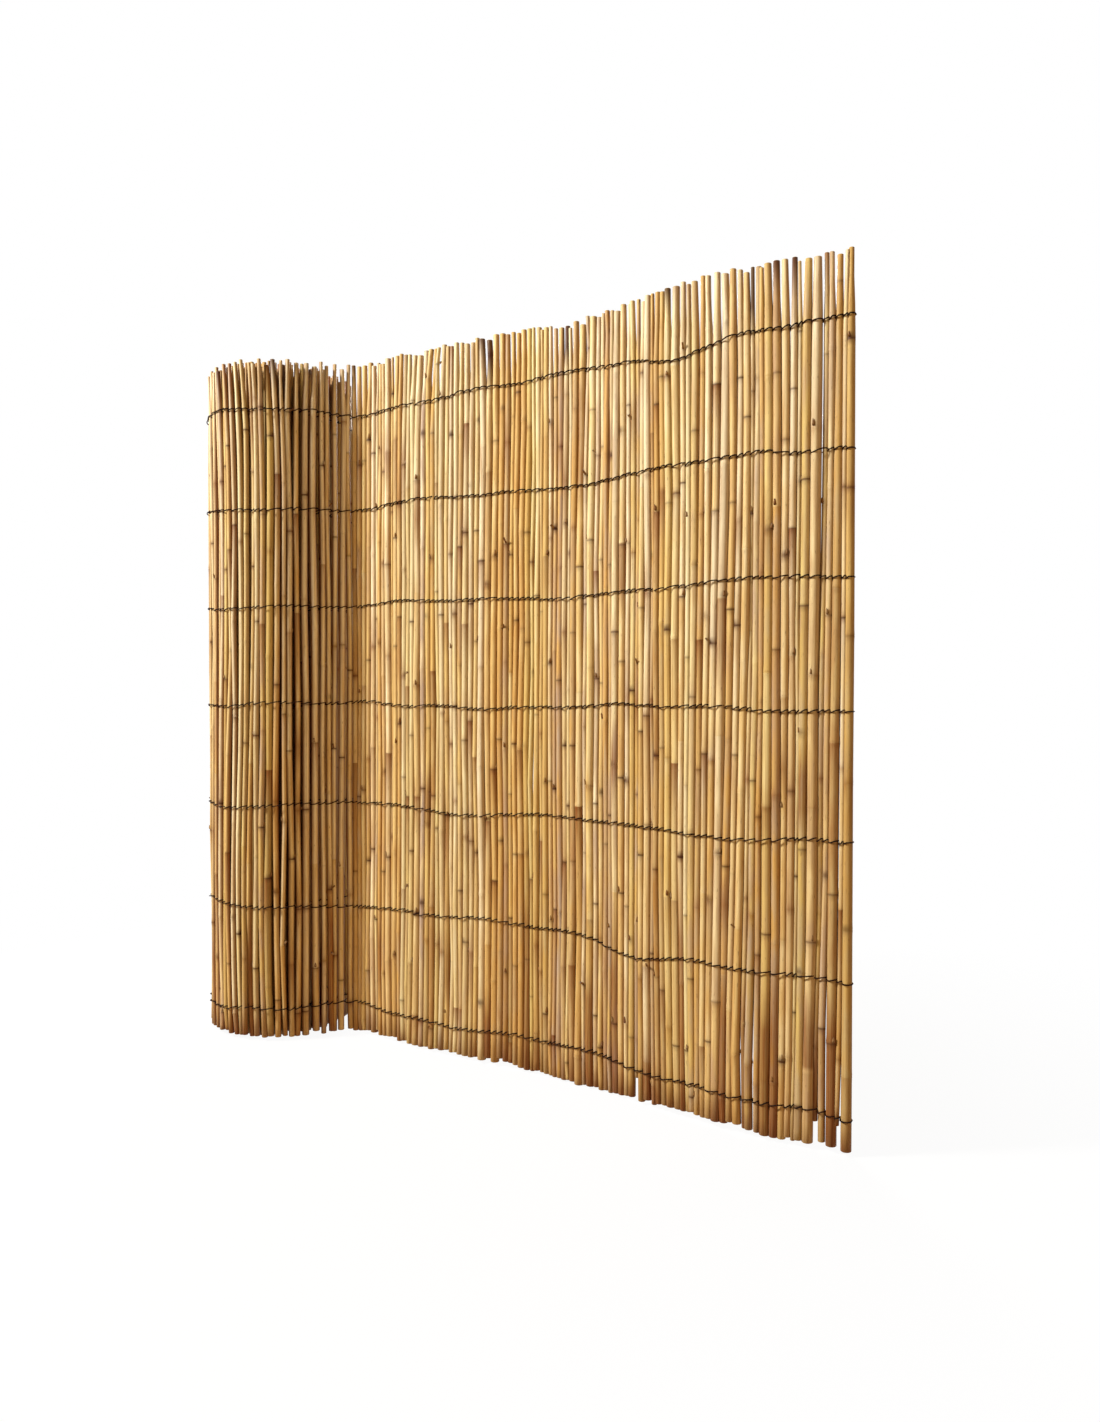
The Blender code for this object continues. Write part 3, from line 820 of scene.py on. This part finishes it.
# Canes set one by one, counted from the free edge: the thickness and thinning of the last ones,
# their tones, the short ones, and one each with a brown foot, a dark tip and a brown length.
EDGE_CANES = ((0.0122, 0.24), (0.0064, 0.0), (0.0124, 0.20), (0.0084, 0.05), (0.0076, 0.05))
EDGE_TONE = (0.66, 0.20, 0.80, 0.35, 0.55, 0.30)
EDGE_JOINT = 0.089
EDGE_CANE_TURN = math.radians(80)
EDGE_KINK_SHARE = 0.4
STRAIGHT_EDGE_CANES = 3
SECOND_CANE_LEAN = np.array([-0.0022, 0.0026, 0.0026, 0.0026])
SECOND_CANE_DEPTH = 0.0012
SHORT_CANES = (1, 4, 32)
SHORT_CANE_BOTTOM = 0.032
LOWEST_JOINT = 0.012
BROWN_EDGE_CANE, BROWN_EDGE_CANE_HEIGHT = 2, 0.190
DARK_TIPPED_CANE, DARK_TIPPED_CANE_HEIGHT = 14, 0.940
BANDED_CANE, BANDED_CANE_HEIGHTS = 43, (0.780, 0.920)

lead_picks = pick_canes(0.0, lead_end, LEAD_PACKING, ROLL_PAINTED_SIDE_SHADE)
free_picks = pick_canes(
    lead_end, mat_end, PANEL_PACKING, PANEL_PAINTED_SIDE_SHADE, PANEL_CROOKEDNESS, 1.0, EDGE_CANES
)
# Painted light on the lead's canes.
lead_picks["tone"] += LEAD_PAINTED_LIGHT
lead_picks["grey"] *= LEAD_GREY_SHARE
lead_picks["green"][:] = 0.0
# Painted light and shade along the panel.
free_picks["tone"] += np.interp(
    free_picks["place"][:, 0], np.linspace(lead_end, mat_end, 3), PANEL_PAINTED_LIGHT_DRIFT
)
panel_picks = follow_on(lead_picks, free_picks)
for from_edge in SHORT_CANES:
    panel_picks["bottom"][-1 - from_edge] = SHORT_CANE_BOTTOM
panel_picks["tone"][-len(EDGE_TONE) :] = EDGE_TONE[::-1]
panel_picks["joints"][-1] = EDGE_JOINT + JOINT_SPACING * np.arange(JOINTS)
edge_radius = EDGE_CANES[0][0] / 2 * thickness_at(PACKING_SHARES, EDGE_CANES[0][1])
second_radius = EDGE_CANES[1][0] / 2
panel_picks["place"][-1] = mat_end - edge_radius
panel_picks["place"][-2] = mat_end - 2 * edge_radius - second_radius + SECOND_CANE_LEAN
panel_picks["kink"][-STRAIGHT_EDGE_CANES:] = panel_picks["kink"][-1] * EDGE_KINK_SHARE
panel_picks["depth"][-2:] = (SECOND_CANE_DEPTH, 0.0)
panel_picks["fan"][-1] = 0.0
panel_picks["turn"][-1] = EDGE_CANE_TURN
panel_picks["brown_to"][-1 - BROWN_EDGE_CANE] = BROWN_EDGE_CANE_HEIGHT
panel_picks["dark_from"][-1 - DARK_TIPPED_CANE] = DARK_TIPPED_CANE_HEIGHT
panel_picks["brown_band"][-1 - BANDED_CANE] = BANDED_CANE_HEIGHTS
lowest_joints = panel_picks["bottom"][:, None] + LOWEST_JOINT
panel_picks["joints"] = np.maximum(panel_picks["joints"], lowest_joints)

panel_canes = make_shown_canes("panel_canes", panel_picks)
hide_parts("unrolled_panel")
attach(panel_canes, "root")

# Canes of the roll's outer turn. They are the same canes, laced into the same mat, which goes once
# round the roll before it leaves it. On this curve the gaps between them open outwards.
# Painted shade: the canes inside the roll and those of the outer turn behind the lead are made
# browner, as they lie in shade.
HIDDEN_PAINTED_SHADE = 0.50
# Painted light: all canes of the outer turn are made paler.
TURN_PAINTED_LIGHT = 0.17
TURN_PACKING = (0.0097, 0.0086, 0.0014)

turn_picks = pick_canes(outer_turn_start, 0.0, TURN_PACKING, ROLL_PAINTED_SIDE_SHADE)
behind_lead = turn_picks["place"][:, 0] < outer_turn_start + LEAD_LENGTH + BEND_RADIUS
# Painted shade on the canes behind the lead, and painted light over the whole outer turn.
turn_picks["tone"] += HIDDEN_PAINTED_SHADE * behind_lead - TURN_PAINTED_LIGHT
turn_canes = make_shown_canes("outer_turn_canes", turn_picks)
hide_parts("roll_outer_turn")
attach(turn_canes, "root")

# Canes of the turns inside the roll. Only their cut ends and the innermost turn show, so each is a
# plain hollow-ended cane of few faces, straight from rim to rim. The mat winds in by eight turns
# down to the open bore.
INNER_SIDES = 7
INNER_PACKING = (0.0094, 0.0082, 0.0008)

inner_picks = pick_canes(mat_start, outer_turn_start, INNER_PACKING, ROLL_PAINTED_SIDE_SHADE)
# The same painted shade for the canes inside the roll.
inner_picks["tone"] += HIDDEN_PAINTED_SHADE
rims = np.column_stack([inner_picks["bottom"] + RIM_BEVEL, inner_picks["top"] - RIM_BEVEL])
inner_tubes = cane_tubes(inner_picks, rims, 0 * rims, 0 * rims, INNER_SIDES)
inner_canes = new_piece("inner_turn_canes", *inner_tubes, cane_skin)
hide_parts("roll_inner_turns")
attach(inner_canes, "root")

# Lacing. Each of the seven rows is one soft annealed iron wire, doubled round the edge cane. Its
# two strands cross between the canes, always the same way round, so each cane is held by one in
# front and one behind, and the front strands show as short slanting stitches.
WIRE_ROWS = 7
LOWEST_ROW = 0.046
TOP_ROW_BELOW_TIPS = 0.070
ROW_SPACING = (SCREEN_HEIGHT - LOWEST_ROW - TOP_ROW_BELOW_TIPS) / (WIRE_ROWS - 1)
STITCH_RISE = (0.0008, 0.0022)
STITCH_JITTER = 0.0006
STITCH_ROUNDNESS = 0.30
STITCH_CLEARANCE = 0.0004
PAIR_SHARE = 0.25
PAIR_REACH = 1.17
STEPS_PER_STITCH = 9
STEPS_PER_HIDDEN_STITCH = 2
LAST_STEP_MARGIN = 1e-6
LOOP_STEPS = 9
UNPAIRED_AT_EDGE = 3
WIRE_SIDES = 6

# The real wire is about 0.9 mm thick. It is drawn thicker, so that its stitches show.
STRAND_RADIUS = 0.00080
IRON_OXIDE = "180A05"
RUST_BROWN = "34180B"
RUST_LEVELS = (0.40, 0.70)
RUST_PATCHES_PER_METRE = 120.0
OXIDE_SPECULAR = 0.08
OXIDE_ROUGHNESS = 0.75


def make_wire_finish():
    """Annealed iron wire: a thin dark oxide from the annealing, dull, with rust brown in patches of
    about 8 mm, by a ramp between the two colours over a noise."""
    material = bpy.data.materials.new("annealed_iron_wire_oxide")
    material.use_nodes = True
    tree = material.node_tree
    shader = tree.nodes["Principled BSDF"]
    place = add_node(tree, "ShaderNodeTexCoord").outputs["Object"]
    rust = add_node(tree, "ShaderNodeTexNoise", {"Scale": RUST_PATCHES_PER_METRE, "Detail": 3.0},
                    Vector=place)
    ramp = add_node(tree, "ShaderNodeValToRGB", Fac=rust.outputs["Fac"])
    stops = ramp.color_ramp.elements
    for stop, level, code in zip(stops, RUST_LEVELS, (IRON_OXIDE, RUST_BROWN)):
        stop.position = level
        stop.color = linear(code)
    tree.links.new(ramp.outputs["Color"], shader.inputs["Base Color"])
    shader.inputs["Specular IOR Level"].default_value = OXIDE_SPECULAR
    shader.inputs["Roughness"].default_value = OXIDE_ROUGHNESS
    return material


wire_finish = make_wire_finish()
all_picks = follow_on(inner_picks, turn_picks, panel_picks)

ROW_BOW = 0.009
DROPPING_ROWS = 3
ROW_DROP = 0.004
ROW_DROP_REACH = 0.05
ROW_WANDERS = (0.0032, 0.0016)
SHORTEST_WANDERS, LONGEST_WANDERS = (0.35, 0.12), (0.60, 0.22)

# Each sag: the row, its distance from the free edge, its depth and half its width.
ROW_SAGS = (
    (6, 0.225, 0.013, 0.045),
    (6, 0.085, 0.003, 0.030),
    (1, 0.280, 0.010, 0.060),
    (5, 0.060, 0.006, 0.030),
)


def row_height(row, distance):
    """The height of one row of lacing along the mat. Rows in the middle sit a little high, by half
    a sine over the rows. The lowest ones drop at the free edge, by an exponential. Each row
    wanders as a sum of two slow sines of its own, and a sag is a bell curve."""
    bow = ROW_BOW * math.sin(math.pi * row / (WIRE_ROWS - 1))
    drop = ROW_DROP * max(0, DROPPING_ROWS - row) * np.exp((distance - mat_end) / ROW_DROP_REACH)
    phase = draw.uniform(0, math.tau, 2)
    length = draw.uniform(SHORTEST_WANDERS, LONGEST_WANDERS)
    wander = np.sin(math.tau * distance / length[0] + phase[0]) * ROW_WANDERS[0]
    wander += np.sin(math.tau * distance / length[1] + phase[1]) * ROW_WANDERS[1]
    for sagging_row, from_edge, sag, spread in ROW_SAGS:
        if sagging_row == row:
            wander -= sag * np.exp(-(((mat_end - distance - from_edge) / spread) ** 2))
    return LOWEST_ROW + ROW_SPACING * row + bow - drop + wander


def lacing_path(row):
    """The path of one doubled wire: the strand that starts in front, the turn round the edge cane,
    and the other strand back. For stitch number n the phase is n pi at the middle of what it holds
    and n and a half pi at the gap after it. Depth goes as a flattened cosine of the phase, times
    the cane's radius and the strand's, and height as its sine, times half a stitch's rise."""
    level = np.full((len(all_picks["thickness"]), 1), LOWEST_ROW + ROW_SPACING * row)
    place, depth = centre_line(all_picks, level)
    place, depth = place[:, 0], depth[:, 0]
    radius = radius_along(all_picks, level)[:, 0]
    paired = draw.random(len(place) - 1) < PAIR_SHARE
    paired[1:] &= ~paired[:-1]
    paired[-UNPAIRED_AT_EDGE:] = False
    starts = np.flatnonzero(np.concatenate([[True], ~paired]))
    ends = np.concatenate([starts[1:], [len(place)]]) - 1
    middle = (place[starts] - radius[starts] + place[ends] + radius[ends]) / 2
    held = np.maximum(radius[starts], radius[ends]) * np.where(ends > starts, PAIR_REACH, 1.0)
    held += STRAND_RADIUS + STITCH_CLEARANCE
    cane_depth = (depth[starts] + depth[ends]) / 2
    gaps = (place[ends[:-1]] + radius[ends[:-1]] + place[starts[1:]] - radius[starts[1:]]) / 2
    stitches = np.arange(len(middle))
    knots = np.sort(np.concatenate([middle, gaps]))
    phases = np.arange(len(knots)) / 2
    shown = np.searchsorted(middle, outer_turn_start)
    hidden_phase = np.arange(0, shown, 1 / STEPS_PER_HIDDEN_STITCH)
    shown_phase = np.arange(shown, len(middle) - 1 + LAST_STEP_MARGIN, 1 / STEPS_PER_STITCH)
    phase = np.concatenate([hidden_phase, shown_phase])
    distance = np.interp(phase, phases, knots)
    reach = np.interp(phase, stitches, held)
    base_depth = np.interp(phase, stitches, cane_depth)
    height = row_height(row, distance)
    height += np.interp(phase, stitches, draw.normal(0, STITCH_JITTER, len(middle)))
    turn = np.cos(math.pi * phase)
    swing = np.sign(turn) * np.abs(turn) ** STITCH_ROUNDNESS * reach
    half_rise = draw.uniform(*STITCH_RISE, len(middle))
    rise = np.sin(math.pi * phase) * np.interp(phase, stitches, half_rise)

    def strand(side):
        """One strand: its swing and rise are added for side 1 and taken off for side -1."""
        plan, _ = stand_on_plan(distance, base_depth + side * swing)
        return np.column_stack([plan, height + side * rise])

    edge_side = 1.0 if turn[-1] > 0 else -1.0
    around = np.linspace(0, math.pi, LOOP_STEPS)[1:-1]
    plan, _ = stand_on_plan(distance[-1] + np.sin(around) * held[-1],
                            base_depth[-1] + edge_side * np.cos(around) * held[-1])
    loop = np.column_stack([plan, np.full(len(around), height[-1])])
    return np.concatenate([strand(1.0), loop, strand(-1.0)[::-1]])


def tube_along(path, radius, sides):
    """Points of a round tube along a path that never runs straight up. Each ring lies across the
    path's own direction: the cosine of its angle times the level side, and the sine times the
    upper side."""
    ahead = np.gradient(path, axis=0)
    ahead /= np.linalg.norm(ahead, axis=1)[:, None]
    level = np.cross((0.0, 0.0, 1.0), ahead)
    level /= np.linalg.norm(level, axis=1)[:, None]
    upper = np.cross(ahead, level)
    angle = np.arange(sides) * math.tau / sides
    ring = np.cos(angle)[:, None] * level[:, None] + np.sin(angle)[:, None] * upper[:, None]
    return path[:, None] + ring * radius


for row in range(WIRE_ROWS):
    path = lacing_path(row)
    points = tube_along(path, STRAND_RADIUS, WIRE_SIDES)
    faces = grid_faces(1, len(path), WIRE_SIDES)
    wire = new_piece(f"lacing_wire_{row + 1}", points.reshape(-1, 3), faces, {}, wire_finish)
    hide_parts(f"binding_wire_{row + 1}")
    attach(wire, "root")

# Floor and light: a plain pale studio floor and a white surround. The key lamp at the left rakes
# across the panel, so that each cane shades the gap on its right. A lamp behind lights the back
# and the tips, and a weak warm one far to the right lights the lead, which faces away from the key.
FLOOR_HALF = 12.0
FLOOR_LEVEL = -0.0003
FLOOR_SEEN = "A6A4A2"
FLOOR_BOUNCE = "A28B6F"
FLOOR_FADE = (0.5, 1.2)
WHITE_SHARE_NEAR = 0.86
WHITE_GLOW_NEAR = 1.088
PLAIN_WHITE = "FFFFFF"
FILL_TINT = "FFD19E"
FILL = 0.081
LAMP_AIM = np.array([0.0, 0.0, 0.50])

# Each lamp: its place, its watts, its width and its colour.
LAMPS = {
    "key": ((-2.27, -2.41, 3.02), 300.0, 0.63, "FFFCF6"),
    "back": ((-1.7, 2.1, 1.7), 90.0, 1.2, "FFFCF6"),
    "side": ((5.6, -1.8, 1.7), 67.0, 1.2, "FFD49E"),
}

corners = np.array([(-1, -1), (1, -1), (1, 1), (-1, 1)]) * FLOOR_HALF
floor_points = np.column_stack([corners, np.full(4, FLOOR_LEVEL)])


def seen_directly(tree):
    """1 for rays from the camera, from gloss and through glass, and 0 for the light's own: the
    largest of the three marks of a ray."""
    path = add_node(tree, "ShaderNodeLightPath")
    seen = path.outputs["Is Camera Ray"]
    for name in ("Is Glossy Ray", "Is Transmission Ray"):
        seen = add_node(tree, "ShaderNodeMath", {"operation": "MAXIMUM"},
                        in0=seen, in1=path.outputs[name]).outputs["Value"]
    return seen


def make_floor_paint():
    """Matt pale paint under plain white: what the camera sees is mostly a white glow, all of it far
    out, and near the object a small share of paint, which keeps a soft shadow. The light's own
    rays see only warm pale paint."""
    material = bpy.data.materials.new("matt_white_floor")
    material.use_nodes = True
    tree = material.node_tree
    tree.nodes.remove(tree.nodes["Principled BSDF"])
    seen = seen_directly(tree)
    colours = {"data_type": "RGBA", 6: linear(FLOOR_BOUNCE), 7: linear(FLOOR_SEEN)}
    paint_tint = add_node(tree, "ShaderNodeMix", colours, in0=seen)
    paint = add_node(tree, "ShaderNodeBsdfDiffuse", Color=paint_tint.outputs[2])
    place = add_node(tree, "ShaderNodeTexCoord").outputs["Object"]
    away = add_node(tree, "ShaderNodeVectorMath", {"operation": "LENGTH"}, in0=place)
    fades = []
    for near in (WHITE_SHARE_NEAR, WHITE_GLOW_NEAR):
        levels = {"From Min": FLOOR_FADE[0], "From Max": FLOOR_FADE[1], "To Min": near}
        fade = add_node(tree, "ShaderNodeMapRange", levels, Value=away.outputs["Value"])
        fades.append(fade.outputs["Result"])
    glow = add_node(tree, "ShaderNodeEmission", Strength=fades[1])
    amount = add_node(tree, "ShaderNodeMath", {"operation": "MULTIPLY"}, in0=seen, in1=fades[0])
    mix = add_node(tree, "ShaderNodeMixShader", in0=amount.outputs["Value"],
                   in1=paint.outputs["BSDF"], in2=glow.outputs["Emission"])
    tree.links.new(mix.outputs["Shader"], tree.nodes["Material Output"].inputs["Surface"])
    return material


floor = new_piece("floor", floor_points, [np.array([[0, 1, 2, 3]])], {}, make_floor_paint())


def hang_lamp(name, place, watts, size, code):
    """A round soft lamp at this place, turned towards the middle of the mat: its tilt is the angle
    whose cosine is the upward part of the way back from the aim, and it faces that way in plan."""
    data = bpy.data.lights.new(name, "AREA")
    data.shape = "DISK"
    data.size = size
    data.energy = watts
    data.color = linear(code)[:3]
    lamp = bpy.data.objects.new(name, data)
    lamp.location = place
    back = (place - LAMP_AIM) / np.linalg.norm(place - LAMP_AIM)
    lamp.rotation_euler = (math.acos(back[2]), 0.0, math.atan2(back[1], back[0]) + math.pi / 2)
    bpy.context.scene.collection.objects.link(lamp)


for name, settings in LAMPS.items():
    hang_lamp(name, *settings)

world = bpy.data.worlds.new("white_surround")
world.use_nodes = True
bpy.context.scene.world = world
world_tree = world.node_tree
surround = world_tree.nodes["Background"]
seen = seen_directly(world_tree)
colours = {"data_type": "RGBA", 6: linear(FILL_TINT), 7: linear(PLAIN_WHITE)}
tint = add_node(world_tree, "ShaderNodeMix", colours, in0=seen)
world_tree.links.new(tint.outputs[2], surround.inputs["Color"])
level = add_node(world_tree, "ShaderNodeMapRange", {"To Min": FILL}, Value=seen)
world_tree.links.new(level.outputs["Result"], surround.inputs["Strength"])

bpy.context.scene.view_settings.view_transform = "Standard"
